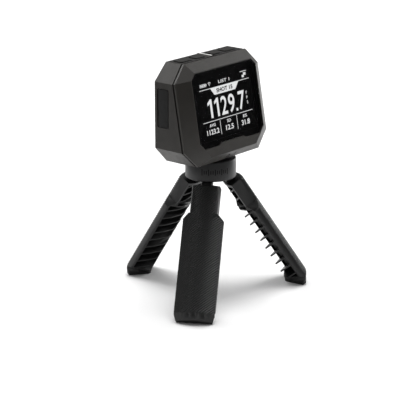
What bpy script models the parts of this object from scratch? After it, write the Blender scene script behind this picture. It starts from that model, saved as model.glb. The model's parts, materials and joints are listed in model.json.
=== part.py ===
"""A handheld radar chronograph on a folding mini tripod, as an assembly of separate parts.

Metres, +Z up, the display facing -Y, the origin at the centre of the base of the bounding box.
The dimensions below are in millimetres, and MM turns them into metres where a mesh is made.
Heights are above the floor, and x and y are measured from the tripod's vertical axis.
Display parts are drawn in the display's own frame: u to the right, v up the tilted face, w out of it.
Leg parts are drawn in the leg's own frame: depth in from the outer skin, t across, s down the leg.
"""

import math

import bmesh
import bpy
from mathutils import Matrix, Vector

MM = 0.001

# Gaps between neighbouring pieces
SEAT_GAP = 0.15  # between pieces that are fixed together
MOVING_GAP = 0.3  # between pieces that move against each other

# Head unit
HEAD_WIDTH = 77.0
HEAD_HEIGHT = 60.0
HEAD_BOTTOM = 87.2
HEAD_TOP = HEAD_BOTTOM + HEAD_HEIGHT
HEAD_MIDDLE = HEAD_BOTTOM + HEAD_HEIGHT / 2
CORNER = 10.0  # chamfer of the eight-sided outline
HEAD_WALL = 2.2
REAR_Y = 11.2  # flat back of the housing
REAR_CHAMFER = 0.8
REAR_WINDOW_INSET = 14.0  # the opening that the radar looks through

# The seam between the two halves, and the display's frame on it
DISPLAY_TILT = math.radians(10.1)
SEAM_Y = -7.07  # at the head's middle height
SEAM_HALF = 0.55  # half the groove that the gasket fills
GASKET_INSET = 0.6

# Bezel and lens
RIM_DEPTH = 1.75
BEZEL_FRONT = 6.9
LENS_FRONT = 7.0
LENS_THICKNESS = 1.1
LENS_SIDE = 29.6
LENS_TOP = 24.1
LENS_BOTTOM = -20.5
LENS_TOP_CORNER = 3.5
LENS_BOTTOM_CORNER = 4.0
NOTCH_RISE = 1.3
NOTCH_TOP = 10.7  # half-width of the raised stretch of border
NOTCH_FOOT = 12.9
BORDER_BOTTOM = -26.2
LIP = 0.6  # bezel edge left around the lens
LEDGE_BACK = 4.4
LEDGE_WIDTH = 1.9
LCD_FRONT = LENS_FRONT - LENS_THICKNESS - MOVING_GAP
LCD_THICKNESS = 1.8

# Radome
RADOME_DEPTH = 4.7
RADOME_INSET = 4.9
RADOME_SLOPE_INSET = 10.0
RADOME_WALL = 1.5

# Housing screws
SCREW_X = 29.8
SCREW_Z = 16.0
SCREW_SHANK = 0.9
SCREW_HEAD = 1.7
SCREW_HEAD_HEIGHT = 1.0
BOSS_RADIUS = 2.3

# Keys and keypad, on the top face
PAD_INNER = 3.0
PAD_OUTER = 27.9
PAD_FRONT = -1.1
PAD_REAR = 9.6
PAD_THICKNESS = 1.0
PAD_RECESS = 1.3
KEY_Y = 4.25
KEY_DEPTH = 6.5
KEY_RISE = 0.8
KEY_THICKNESS = 1.3
KEY_STEM = 1.0
KEY_STEM_BOTTOM = HEAD_TOP - 2.35
KEYS = {  # name: (middle x, width)
    "power_key": (-20.15, 10.7),
    "back_key": (-7.75, 8.5),
    "select_key": (7.75, 8.5),
    "scroll_key": (20.15, 10.7),
}
KEYPAD_BOARD_TOP = 142.8

# Sight ridge between the keys
RIDGE_HALF = 2.7
CREST_HALF = 0.9
RIDGE_RISE = 0.55
LINE_HALF = 0.6
LINE_FRONT = -1.0
LINE_REAR = 9.0

# Port on the left side, and its hinged cover
PORT_Y = 4.3
PORT_Z = HEAD_BOTTOM + 34.65
RECESS_DEPTH = 2.5
RECESS_FRONT = -0.1
RECESS_REAR = 8.7
RECESS_HALF_HEIGHT = 11.65
RECESS_CORNER = 1.0
COVER_THICKNESS = 1.2
BARREL = 1.1
COVER_AXIS_X = -HEAD_WIDTH / 2 + BARREL
COVER_AXIS_Y = RECESS_REAR - MOVING_GAP - BARREL
COVER_PIN = 0.5

# Screw mount between head and tripod
INSERT_RADIUS = 5.0
INSERT_HEIGHT = 8.0
THREAD_HOLE = 3.2
STUD_THREAD = 2.9
STUD_TOP = 94.0
STUD_SHANK = 2.4
STUD_BOTTOM = 71.2
STUD_HEX = 4.2  # half across flats

# Collar and hub
COLLAR_RADIUS = 15.4
COLLAR_BORE = 13.6
COLLAR_BOTTOM = 73.7
COLLAR_TOP = 85.8
COLLAR_ROOF = 83.45  # underside of its top wall
HUB_RADIUS = 13.2
HUB_BOTTOM = 74.1
HUB_TOP = 82.4
WASHER_TOP = 83.2
NUT_HEIGHT = 2.2
NUT_HALF = 3.5

# Inside the head
BOARD_WIDTH = 53.0
BOARD_HEIGHT = 46.0
BOARD_THICKNESS = 1.2
BOARD_FRONT = -0.5  # out from the seam
CHIPS = (  # (u, v) of the middle, (width, height)
    ((-15, -8), (11, 11)),
    ((6, 6), (8, 8)),
    ((17, -11), (6, 5)),
    ((-4, 12), (9, 5)),
)
CHIP_HEIGHT = 1.1
PATCH_SIZE = 6.0
PATCH_PITCH = (10.0, 12.0)
PATCH_COLUMNS = 4
BATTERY_WIDTH = 48.0
BATTERY_HEIGHT = 29.0
BATTERY_X = 2.0
BATTERY_MIDDLE = HEAD_MIDDLE - 3.2
BATTERY_FRONT = 0.3
BATTERY_REAR = 5.9
LCD_WIDTH = 52.0
LCD_HEIGHT = 38.4
LCD_MIDDLE_V = 2.3
CARRIER_THICKNESS = 1.4
CARRIER_BORDER = 0.8  # how far it reaches past the panel
CARRIER_OPENING = (44.0, 31.0)

# USB-C socket
PORT_THICK = 3.26
PORT_WIDE = 8.94
PORT_SHELL = 0.35
PORT_LENGTH = 7.0

# Legs. Reach is measured out from the tripod's axis, with the legs spread
LEG_DIRECTIONS = {"a": -150.0, "b": -30.0, "c": 90.0}
LEG_SPREAD = math.radians(33.6)  # from the vertical
SKIN_TOP_REACH = 19.0  # the skin's top corner
SKIN_TOP_HEIGHT = 73.5
LEG_LENGTH = 77.7  # along the skin, to where the foot's upright end begins
LEG_HALF = 12.2
LEG_EDGE_DEPTH = 4.4  # of the skin's side edges
LEG_ARC = (LEG_HALF**2 + LEG_EDGE_DEPTH**2) / (2 * LEG_EDGE_DEPTH)  # radius of the outer skin
LEG_SKIN = 2.7
LEG_TIP_HALF = 1.0  # the ribs' blunt tip
LEG_BEND_HALF = 6.2  # where the ribs' outline turns from the flank to the tip
LEG_SIDE_DEPTH = 7.6  # of the side walls' inner edges
LEG_WALL = 1.3
LEG_DEPTH_TOP = (LEG_SIDE_DEPTH, 11.0, 12.8)  # of the wall, the bend and the tip, at the neck
LEG_DEPTH_LOW = (LEG_SIDE_DEPTH, 11.3, 14.0)  # where the ribs end
LEG_DEPTH_FOOT = (4.7, 10.0, 14.5)
FOOT_BLEND = 2.0  # length over which the ribs' outline becomes the foot's
LEG_END_ROUND = 2.2
NECK_START = -0.5
NECK_LENGTH = 16.7
NECK_HALF = 8.3
NECK_SIDE_DEPTH = 10.0
NECK_DEPTH = 11.3
NECK_WALL = 1.3
NECK_EASE = 3.4  # depth of the eased edge between the skin and the neck's flat side
RIB_PITCH = 6.45
RIB_THICKNESS = 1.0
RIB_SLANT = 0.47  # along the leg, for each step across it
RIB_COUNT = 12
NECK_RIBS = 3
HINGE_REACH = 8.0
HINGE_HEIGHT = 76.5
ARM_HALF = 3.0
ARM_RADIUS = 2.8
SLOT_END = 4.6
SLOT_TOP = 80.0
HINGE_PIN = 1.2
HINGE_PIN_HALF = 8.4

# Feet
FOOT_PAD_TOP = 1.4
FOOT_CHAMFER_HEIGHT = 3.7  # where the slope under the foot's front edge begins
FOOT_CHAMFER_DEPTH = 4.4
FOOT_SIDE_HEIGHT = 5.0  # the slope on the foot's lower side corners
FOOT_SIDE_DEPTH = 1.5


def skin_end():
    """(reach, height) of the skin's lower end, above the foot."""
    reach = SKIN_TOP_REACH + LEG_LENGTH * math.sin(LEG_SPREAD)
    return reach, SKIN_TOP_HEIGHT - LEG_LENGTH * math.cos(LEG_SPREAD)


def base_middle():
    """How far behind the tripod's axis the middle of the footprint lies."""
    reach, _ = skin_end()
    edge_reach = reach - LEG_EDGE_DEPTH * math.cos(LEG_SPREAD)
    front = edge_reach * math.sin(math.radians(30)) + LEG_HALF * math.cos(math.radians(30))
    return (reach - front) / 2


# Small tools for making meshes

CUTTERS = None


def clear_scene():
    for item in list(bpy.data.objects):
        bpy.data.objects.remove(item)


def material(name, color, roughness, metallic=0.0):
    made = bpy.data.materials.get(name)
    if made is None:
        made = bpy.data.materials.new(name)
        made.use_nodes = True
        shader = made.node_tree.nodes["Principled BSDF"]
        shader.inputs["Base Color"].default_value = (*color, 1.0)
        shader.inputs["Roughness"].default_value = roughness
        shader.inputs["Metallic"].default_value = metallic
        made.diffuse_color = (*color, 1.0)
    return made


def head_plastic():
    return material("head_plastic", (0.055, 0.050, 0.045), 0.6)


def black_rubber():
    return material("black_rubber", (0.012, 0.012, 0.012), 0.75)


def leg_plastic():
    return material("leg_plastic", (0.018, 0.018, 0.018), 0.55)


def collar_plastic():
    return material("collar_plastic", (0.05, 0.05, 0.052), 0.4)


def steel():
    return material("steel", (0.55, 0.55, 0.56), 0.3, 1.0)


def brass():
    return material("brass", (0.70, 0.48, 0.20), 0.35, 1.0)


def board_green():
    return material("circuit_board", (0.02, 0.10, 0.05), 0.5)


def loft_into(mesh, rings, closed=False):
    """Skins the rings, which hold equally many points. Closed joins the last to the first, as in a tube."""
    rows = [[mesh.verts.new(Vector(point) * MM) for point in ring] for ring in rings]
    pairs = list(zip(rows, rows[1:]))
    if closed:
        pairs.append((rows[-1], rows[0]))
    count = len(rows[0])
    for low, high in pairs:
        for i in range(count):
            j = (i + 1) % count
            mesh.faces.new((low[i], low[j], high[j], high[i]))
    if not closed:
        mesh.faces.new(list(reversed(rows[0])))
        mesh.faces.new(rows[-1])


def data_of(name, *lofts):
    """Mesh data from (rings, closed) pairs, with the faces pointing out."""
    mesh = bmesh.new()
    for rings, closed in lofts:
        loft_into(mesh, rings, closed)
    bmesh.ops.recalc_face_normals(mesh, faces=mesh.faces)
    data = bpy.data.meshes.new(name)
    mesh.to_mesh(data)
    mesh.free()
    return data


def put(name, data, finish, parent=None, smooth=False):
    item = bpy.data.objects.new(name, data)
    bpy.context.collection.objects.link(item)
    item.parent = parent
    if finish is not None and not data.materials:
        data.materials.append(finish)
    if smooth:
        data.shade_smooth()
        data.set_sharp_from_angle(angle=math.radians(30))
    return item


def solid(name, rings, finish, parent, closed=False, smooth=False):
    return put(name, data_of(name, (rings, closed)), finish, parent, smooth)


def helper(data, parent=None):
    """A shape that a Boolean uses, left out of the model itself."""
    item = put("helper", data, None, parent)
    item.hide_render = True
    item.display_type = "WIRE"
    CUTTERS.objects.link(item)
    bpy.context.collection.objects.unlink(item)
    return item


def change(item, operation, *lofts, parent=None):
    """Adds a Boolean of the given lofts, drawn in the frame of the item's parent."""
    change_by(item, operation, data_of("helper", *lofts), item.parent if parent is None else parent)


def change_by(item, operation, data, parent=None):
    """Adds a Boolean of the given mesh."""
    tool = helper(data, parent)
    boolean = item.modifiers.new(operation.lower(), "BOOLEAN")
    boolean.operation = operation
    boolean.solver = "EXACT"
    boolean.object = tool


def join(item, *lofts, **where):
    change(item, "UNION", *lofts, **where)


def cut(item, *lofts, **where):
    change(item, "DIFFERENCE", *lofts, **where)


def empty(name, location=(0, 0, 0), rotation=(0, 0, 0), parent=None):
    item = bpy.data.objects.new(name, None)
    bpy.context.collection.objects.link(item)
    item.location = Vector(location) * MM
    item.rotation_euler = rotation
    item.parent = parent
    return item


def evaluated_data(item):
    """The item's mesh with its modifiers done, so that copies can share it. The item is removed."""
    bpy.context.view_layer.update()
    seen = item.evaluated_get(bpy.context.evaluated_depsgraph_get())
    data = bpy.data.meshes.new_from_object(seen)
    finishes = [slot for slot in item.data.materials]
    data.materials.clear()
    for finish in finishes:
        data.materials.append(finish)
    bpy.data.objects.remove(item)
    return data


# Outlines and lofts, each in millimetres


def circle(radius, count=24, middle=(0.0, 0.0)):
    turns = [2 * math.pi * i / count for i in range(count)]
    return [(middle[0] + radius * math.cos(a), middle[1] + radius * math.sin(a)) for a in turns]


def polygon(half_across, sides=6, count=24):
    """A regular polygon whose outline carries count points, so that it lofts to a circle."""
    step = 2 * math.pi / sides
    points = []
    for i in range(count):
        angle = 2 * math.pi * i / count
        reach = half_across / math.cos((angle % step) - step / 2)
        points.append((reach * math.cos(angle), reach * math.sin(angle)))
    return points


def rounded(width, height, corner, middle=(0.0, 0.0), steps=4):
    """A rectangle with round corners, of 4 * (steps + 1) points, turning from the right-hand side."""
    points = []
    for quarter, (sx, sy) in enumerate(((1, 1), (-1, 1), (-1, -1), (1, -1))):
        x = middle[0] + sx * (width / 2 - corner)
        y = middle[1] + sy * (height / 2 - corner)
        for i in range(steps + 1):
            angle = math.pi / 2 * (quarter + i / steps)
            points.append((x + corner * math.cos(angle), y + corner * math.sin(angle)))
    return points


def octagon(inset=0.0):
    """The head's outline in x and z about its middle, moved in by inset all round."""
    cut_back = CORNER - inset * (2 - math.sqrt(2))
    x, z = HEAD_WIDTH / 2 - inset, HEAD_HEIGHT / 2 - inset
    right = [(x, z - cut_back), (x - cut_back, z)]
    return (
        right
        + [(-px, pz) for px, pz in reversed(right)]
        + [(-px, -pz) for px, pz in right]
        + [(px, -pz) for px, pz in reversed(right)]
    )


def at_z(points, z):
    return [(x, y, z) for x, y in points]


def at_y(points, y, height=HEAD_MIDDLE):
    return [(x, y, z + height) for x, z in points]


def at_x(points, x):
    return [(x, y, z) for y, z in points]


def prism_z(points, low, high):
    return [at_z(points, low), at_z(points, high)], False


def prism_y(points, low, high, height=HEAD_MIDDLE):
    return [at_y(points, low, height), at_y(points, high, height)], False


def prism_x(points, low, high):
    return [at_x(points, low), at_x(points, high)], False


def block(low, high):
    (x0, y0, z0), (x1, y1, z1) = low, high
    return prism_z([(x0, y0), (x1, y0), (x1, y1), (x0, y1)], z0, z1)


def tube_z(outer, inner, low, high):
    return [at_z(outer, low), at_z(outer, high), at_z(inner, high), at_z(inner, low)]


def seam_y(z, w=0.0):
    """Depth of the tilted plane that lies w in front of the seam, at the height z."""
    return SEAM_Y + (z - HEAD_MIDDLE) * math.tan(DISPLAY_TILT) - w / math.cos(DISPLAY_TILT)


def at_seam(points, w):
    return [(x, seam_y(z + HEAD_MIDDLE, w), z + HEAD_MIDDLE) for x, z in points]


def face_outline(side, top, bottom, top_corner, bottom_corner, rise=0.0):
    """The display's outline in u and v, of twelve points, with the raised stretch in its bottom edge."""
    return [
        (side, bottom + bottom_corner),
        (side, top - top_corner),
        (side - top_corner, top),
        (top_corner - side, top),
        (-side, top - top_corner),
        (-side, bottom + bottom_corner),
        (bottom_corner - side, bottom),
        (-NOTCH_FOOT, bottom),
        (-NOTCH_TOP, bottom + rise),
        (NOTCH_TOP, bottom + rise),
        (NOTCH_FOOT, bottom),
        (side - bottom_corner, bottom),
    ]


def lens_outline(out=0.0):
    corner = out * (2 - math.sqrt(2))
    return face_outline(
        LENS_SIDE + out,
        LENS_TOP + out,
        LENS_BOTTOM - out,
        LENS_TOP_CORNER + corner,
        LENS_BOTTOM_CORNER + corner,
        NOTCH_RISE,
    )


def rim_outline(inset=0.0):
    """The head's outline on the tilted display plane."""
    half = (HEAD_HEIGHT / 2) / math.cos(DISPLAY_TILT)
    corner = CORNER - inset * (2 - math.sqrt(2))
    return face_outline(HEAD_WIDTH / 2 - inset, half - inset, inset - half, corner, corner)


# Head unit


def make_housing(stand):
    """The rear shell: an eight-sided tube with a back wall that has the radar's window."""
    window = octagon(REAR_WINDOW_INSET)
    inner_back = REAR_Y - HEAD_WALL
    rings = [
        at_y(window, inner_back),
        at_y(window, REAR_Y),
        at_y(octagon(REAR_CHAMFER), REAR_Y),
        at_y(octagon(), REAR_Y - REAR_CHAMFER),
        at_seam(octagon(), -SEAM_HALF),
        at_seam(octagon(HEAD_WALL), -SEAM_HALF),
        at_y(octagon(HEAD_WALL), inner_back),
    ]
    housing = solid("radar_housing", rings, head_plastic(), stand, closed=True)
    add_housing_bosses(housing)
    cut_keypad(housing)
    cut_port(housing)


def screw_places():
    return [(sx * SCREW_X, sz * SCREW_Z) for sx in (-1, 1) for sz in (-1, 1)]


def add_housing_bosses(housing):
    """Screw posts, the threaded insert's boss, and the thick wall behind the port."""
    into_wall = 0.6
    posts, bores = [], []
    for x, z in screw_places():
        nearest = seam_y(z + HEAD_MIDDLE + BOSS_RADIUS, -SEAM_HALF) + MOVING_GAP
        posts.append(prism_y(circle(BOSS_RADIUS, 16, (x, z)), nearest, REAR_Y - into_wall))
        bores.append(prism_y(circle(SCREW_SHANK + MOVING_GAP, 16, (x, z)), nearest - 1, REAR_Y + 1))
    join(housing, *posts)
    boss_top = HEAD_BOTTOM + INSERT_HEIGHT + 2.2
    join(housing, prism_z(circle(INSERT_RADIUS + 2.2, 32), HEAD_BOTTOM + into_wall, boss_top))
    wall_x = -HEAD_WIDTH / 2 + into_wall
    room = 2.0  # how far the thick wall reaches past the recess
    join(
        housing,
        block(
            (wall_x, RECESS_FRONT - room, PORT_Z - RECESS_HALF_HEIGHT - room),
            (-HEAD_WIDTH / 2 + 4.7, REAR_Y - into_wall, PORT_Z + RECESS_HALF_HEIGHT + room),
        ),
    )
    ridge = [
        (-RIDGE_HALF, HEAD_TOP),
        (-CREST_HALF, HEAD_TOP + RIDGE_RISE),
        (CREST_HALF, HEAD_TOP + RIDGE_RISE),
        (RIDGE_HALF, HEAD_TOP),
        (RIDGE_HALF, HEAD_TOP - into_wall),
        (-RIDGE_HALF, HEAD_TOP - into_wall),
    ]
    join(housing, prism_y(ridge, seam_y(HEAD_TOP, -SEAM_HALF), PAD_REAR, 0.0))
    cut(housing, *bores)
    hole_top = HEAD_BOTTOM + INSERT_HEIGHT + 2 * SEAT_GAP
    hole = circle(INSERT_RADIUS + SEAT_GAP, 32)
    cut(housing, prism_z(hole, HEAD_BOTTOM - 1, hole_top))


def cut_keypad(housing):
    """The keypad's two recesses, the key stems' holes and the groove of the sight line."""
    floor = HEAD_TOP - PAD_RECESS
    in_front = seam_y(HEAD_TOP) - 2
    recesses = []
    for inner, outer in ((-PAD_OUTER, -PAD_INNER), (PAD_INNER, PAD_OUTER)):
        recesses.append(
            block(
                (inner - SEAT_GAP, in_front, floor),
                (outer + SEAT_GAP, PAD_REAR + SEAT_GAP, HEAD_TOP + 1),
            )
        )
    cut(housing, *recesses)
    holes = [
        prism_z(circle(KEY_STEM + MOVING_GAP, 16, (x, KEY_Y)), floor - 3, floor + 1)
        for x, _ in KEYS.values()
    ]
    cut(housing, *holes)
    groove = sight_outline(SEAT_GAP)
    cut(housing, prism_z(groove, HEAD_TOP - SEAT_GAP, HEAD_TOP + 2))


def sight_outline(out=0.0):
    length = LINE_REAR - LINE_FRONT
    middle = (0.0, (LINE_FRONT + LINE_REAR) / 2)
    return rounded(2 * (LINE_HALF + out), length + 2 * out, LINE_HALF + out - 0.01, middle)


def cut_port(housing):
    """The recess of the port cover, the port's slot, and the hinge pin's holes."""
    middle = ((RECESS_FRONT + RECESS_REAR) / 2, PORT_Z)
    outline = rounded(RECESS_REAR - RECESS_FRONT, 2 * RECESS_HALF_HEIGHT, RECESS_CORNER, middle)
    floor = -HEAD_WIDTH / 2 + RECESS_DEPTH
    cut(housing, prism_x(outline, -HEAD_WIDTH / 2 - 1, floor))
    slot = rounded(PORT_THICK + 2 * SEAT_GAP, PORT_WIDE + 2 * SEAT_GAP, 1.7, (PORT_Y, PORT_Z))
    cut(housing, prism_x(slot, floor - 1, floor + 5))
    reach = RECESS_HALF_HEIGHT + 1.2
    hole = circle(COVER_PIN + SEAT_GAP, 12, (COVER_AXIS_X, COVER_AXIS_Y))
    cut(housing, prism_z(hole, PORT_Z - reach, PORT_Z + reach))


def make_radome(stand):
    """The hollow cover over the radar's window, with sloping sides and a flat face."""
    base = REAR_Y + SEAT_GAP
    face = REAR_Y + RADOME_DEPTH
    step = base + 1.0
    rings = [
        at_y(octagon(RADOME_SLOPE_INSET + RADOME_WALL), face - RADOME_WALL),
        at_y(octagon(RADOME_INSET + RADOME_WALL), step),
        at_y(octagon(RADOME_INSET + RADOME_WALL), base),
        at_y(octagon(RADOME_INSET), base),
        at_y(octagon(RADOME_INSET), step),
        at_y(octagon(RADOME_SLOPE_INSET - 0.6), face - 0.4),
        at_y(octagon(RADOME_SLOPE_INSET + 0.4), face),
    ]
    solid("radome_cover", rings, head_plastic(), stand)


def display_ring(points, w):
    return [(u, v, w) for u, v in points]


def make_bezel(display):
    """The front shell: a rim, eight sloping facets, and a pocket that holds the lens."""
    front = face_outline(
        LENS_SIDE + LIP, LENS_TOP + LIP, BORDER_BOTTOM, LENS_TOP_CORNER + 0.4, 9.2
    )
    ledge_floor = LENS_FRONT - LENS_THICKNESS - SEAT_GAP
    opening = lens_outline(-LEDGE_WIDTH)
    rings = [
        display_ring(rim_outline(HEAD_WALL), SEAM_HALF),
        display_ring(rim_outline(), SEAM_HALF),
        display_ring(rim_outline(), RIM_DEPTH),
        display_ring(front, BEZEL_FRONT),
        display_ring(lens_outline(SEAT_GAP), BEZEL_FRONT),
        display_ring(lens_outline(SEAT_GAP), ledge_floor),
        display_ring(opening, ledge_floor),
        display_ring(opening, LEDGE_BACK),
        display_ring(lens_outline(LIP), LEDGE_BACK),
        display_ring(rim_outline(HEAD_WALL), RIM_DEPTH - 0.5),
    ]
    bezel = solid("display_bezel", rings, head_plastic(), display, closed=True)
    stand = display.parent
    posts, bores = [], []
    for x, z in screw_places():
        height = z + HEAD_MIDDLE
        start = seam_y(height - BOSS_RADIUS, SEAM_HALF) - MOVING_GAP
        end = seam_y(height, LEDGE_BACK + 0.4)
        posts.append(prism_y(circle(BOSS_RADIUS, 16, (x, z)), end, start))
        bores.append(prism_y(circle(SCREW_SHANK + MOVING_GAP, 16, (x, z)), end + 1, start + 1))
    join(bezel, *posts, parent=stand)
    cut(bezel, *bores, parent=stand)


def make_gasket(display):
    half = SEAM_HALF - SEAT_GAP
    outer, inner = rim_outline(GASKET_INSET), rim_outline(HEAD_WALL)
    rings = [
        display_ring(outer, -half),
        display_ring(outer, half),
        display_ring(inner, half),
        display_ring(inner, -half),
    ]
    solid("seam_gasket", rings, black_rubber(), display, closed=True)


def make_screen(display):
    """Lens, display panel and the carrier frame behind it."""
    chamfer = 0.15
    back = LENS_FRONT - LENS_THICKNESS
    rings = [
        display_ring(lens_outline(), back),
        display_ring(lens_outline(), LENS_FRONT - chamfer),
        display_ring(lens_outline(-chamfer), LENS_FRONT),
    ]
    glass = material("display_glass", (0.01, 0.01, 0.012), 0.08)
    solid("display_lens", rings, glass, display)

    middle = (0.0, LCD_MIDDLE_V)
    panel = rounded(LCD_WIDTH, LCD_HEIGHT, 2.5, middle)
    lcd_back = LCD_FRONT - LCD_THICKNESS
    lcd = material("lcd_face", (0.005, 0.005, 0.006), 0.25)
    solid("lcd_panel", prism_z(panel, lcd_back, LCD_FRONT)[0], lcd, display)

    top = lcd_back - MOVING_GAP
    outer = rounded(LCD_WIDTH + 2 * CARRIER_BORDER, LCD_HEIGHT + 2 * CARRIER_BORDER, 1.5, middle)
    inner = rounded(*CARRIER_OPENING, 1.5, middle)
    frame = tube_z(outer, inner, top - CARRIER_THICKNESS, top)
    finish = material("carrier", (0.03, 0.03, 0.03), 0.6)
    solid("display_carrier", frame, finish, display, closed=True)


def make_boards(stand, display):
    """Circuit boards with their tallest chips, and the battery between them."""
    into_board = 0.2
    board = rounded(BOARD_WIDTH, BOARD_HEIGHT, 5.0)
    plate = prism_z(board, BOARD_FRONT - BOARD_THICKNESS, BOARD_FRONT)
    main = solid("main_board", plate[0], board_green(), display)
    low, high = BOARD_FRONT - into_board, BOARD_FRONT + CHIP_HEIGHT
    chips = []
    for (u, v), (du, dv) in CHIPS:
        chips.append(block((u - du / 2, v - dv / 2, low), (u + du / 2, v + dv / 2, high)))
    join(main, *chips)

    radar = octagon(REAR_WINDOW_INSET + 0.6)
    rear = REAR_Y - 0.8
    plate = prism_y(radar, rear - BOARD_THICKNESS, rear)
    board = solid("radar_board", plate[0], board_green(), stand)
    patches = []
    for column in range(PATCH_COLUMNS):
        for row in range(2):
            x = (column - (PATCH_COLUMNS - 1) / 2) * PATCH_PITCH[0]
            z = (row - 0.5) * PATCH_PITCH[1]
            outline = rounded(PATCH_SIZE, PATCH_SIZE, 0.3, (x, z))
            patches.append(prism_y(outline, rear - into_board, rear + 0.2))
    join(board, *patches)

    cell = rounded(BATTERY_WIDTH, BATTERY_HEIGHT, 2.0, (BATTERY_X, BATTERY_MIDDLE))
    silver = material("battery_wrap", (0.35, 0.36, 0.38), 0.35, 0.4)
    solid("battery", prism_y(cell, BATTERY_FRONT, BATTERY_REAR, 0.0)[0], silver, stand)


def make_housing_screws(stand):
    """Four screws from under the radome, through the housing's posts, into the bezel's."""
    seat = REAR_Y + SEAT_GAP
    for number, (x, z) in enumerate(screw_places(), 1):
        tip = seam_y(z + HEAD_MIDDLE, 3.0)
        socket = polygon(0.75, 6, 12)
        rings = [
            circle(SCREW_SHANK - 0.3, 12),
            circle(SCREW_SHANK, 12),
            circle(SCREW_SHANK, 12),
            circle(SCREW_HEAD, 12),
            circle(SCREW_HEAD, 12),
            socket,
            socket,
        ]
        head_top = seat + SCREW_HEAD_HEIGHT
        depths = (tip, tip + 0.6, seat, seat, head_top, head_top, seat + 0.5)
        placed = [
            [(px + x, y, pz + z + HEAD_MIDDLE) for px, pz in ring] for ring, y in zip(rings, depths)
        ]
        solid(f"housing_screw_{number}", placed, steel(), stand)


def make_keypad(stand):
    """Two rubber keypads, four keys on stems, and the switches on their board."""
    top = HEAD_TOP
    for side, sign in (("left", -1), ("right", 1)):
        middle = (sign * (PAD_INNER + PAD_OUTER) / 2, (PAD_FRONT + PAD_REAR) / 2)
        outline = rounded(PAD_OUTER - PAD_INNER, PAD_REAR - PAD_FRONT, 0.6, middle)
        pad = solid(
            f"keypad_{side}", prism_z(outline, top - PAD_THICKNESS, top)[0], black_rubber(), stand
        )
        holes = []
        for x, width in KEYS.values():
            if x * sign > 0:
                size = (width + 2 * MOVING_GAP, KEY_DEPTH + 2 * MOVING_GAP)
                holes.append(prism_z(rounded(*size, 1.5, (x, KEY_Y)), top - 3, top + 1))
        cut(pad, *holes)

    plate = block((-26.5, 0.0, KEYPAD_BOARD_TOP - 1.0), (26.5, 8.2, KEYPAD_BOARD_TOP))
    solid("keypad_board", plate[0], board_green(), stand)
    switch = material("switch_black", (0.02, 0.02, 0.02), 0.45)
    for number, (name, (x, width)) in enumerate(KEYS.items(), 1):
        make_key(name, x, width, stand)
        low = KEYPAD_BOARD_TOP + SEAT_GAP
        body = rounded(4.2, 3.2, 0.3, (x, KEY_Y), 3)
        plunger = circle(0.8, 16, (x, KEY_Y))
        plunger = plunger[1:] + plunger[:1]
        rings = [at_z(body, low), at_z(body, low + 0.8), at_z(plunger, low + 0.8),
                 at_z(plunger, low + 1.2)]
        solid(f"tact_switch_{number}", rings, switch, stand)

    line = sight_outline()
    white = material("sight_white", (0.8, 0.8, 0.78), 0.5)
    top_of_line = HEAD_TOP + RIDGE_RISE + 0.1
    solid("sight_line", prism_z(line, HEAD_TOP, top_of_line)[0], white, stand)


def make_key(name, x, width, stand):
    """A raised cap with an eased top edge, on a round stem. Its origin is at the middle of its foot."""
    top = HEAD_TOP + KEY_RISE
    under = top - KEY_THICKNESS
    count = 4 * 5
    stem = circle(KEY_STEM, count)
    stem = stem[1:] + stem[:1]
    cap = rounded(width, KEY_DEPTH, 1.2)
    eased = rounded(width - 0.8, KEY_DEPTH - 0.8, 0.8)
    heights = (
        (stem, KEY_STEM_BOTTOM),
        (stem, under),
        (cap, under),
        (cap, top - 0.4),
        (eased, top),
    )
    rings = [at_z(ring, z - HEAD_TOP) for ring, z in heights]
    key = solid(name, rings, black_rubber(), stand)
    key.location = Vector((x, KEY_Y, HEAD_TOP)) * MM


def make_port(stand):
    """The data and charging socket, its small board, and the hinged cover on its pin."""
    mouth = -HEAD_WIDTH / 2 + RECESS_DEPTH + SEAT_GAP
    back = mouth + PORT_LENGTH
    place = (PORT_Y, PORT_Z)
    outer = rounded(PORT_THICK, PORT_WIDE, PORT_THICK / 2 - 0.03, place)
    inner_thick, inner_wide = PORT_THICK - 2 * PORT_SHELL, PORT_WIDE - 2 * PORT_SHELL
    inner = rounded(inner_thick, inner_wide, inner_thick / 2 - 0.03, place)
    rings = [at_x(inner, back - 1.0), at_x(inner, mouth), at_x(outer, mouth), at_x(outer, back)]
    port = solid("usb_c_port", rings, steel(), stand)
    tongue = (
        (mouth + 0.8, PORT_Y - 0.35, PORT_Z - 3.3),
        (back - 0.5, PORT_Y + 0.35, PORT_Z + 3.3),
    )
    join(port, block(*tongue))

    board_y = PORT_Y + PORT_THICK / 2 + MOVING_GAP
    plate = block((mouth + 2.6, board_y, PORT_Z - 8), (mouth + 11.0, board_y + 1.0, PORT_Z + 8))
    solid("port_board", plate[0], board_green(), stand)

    hinge = empty(
        "port_cover_hinge", (COVER_AXIS_X, COVER_AXIS_Y, PORT_Z), parent=stand
    )
    make_port_cover(hinge)
    reach = RECESS_HALF_HEIGHT + 1.0
    pin = prism_z(circle(COVER_PIN, 12), -reach, reach)[0]
    solid("port_cover_pin", pin, steel(), hinge)


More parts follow.
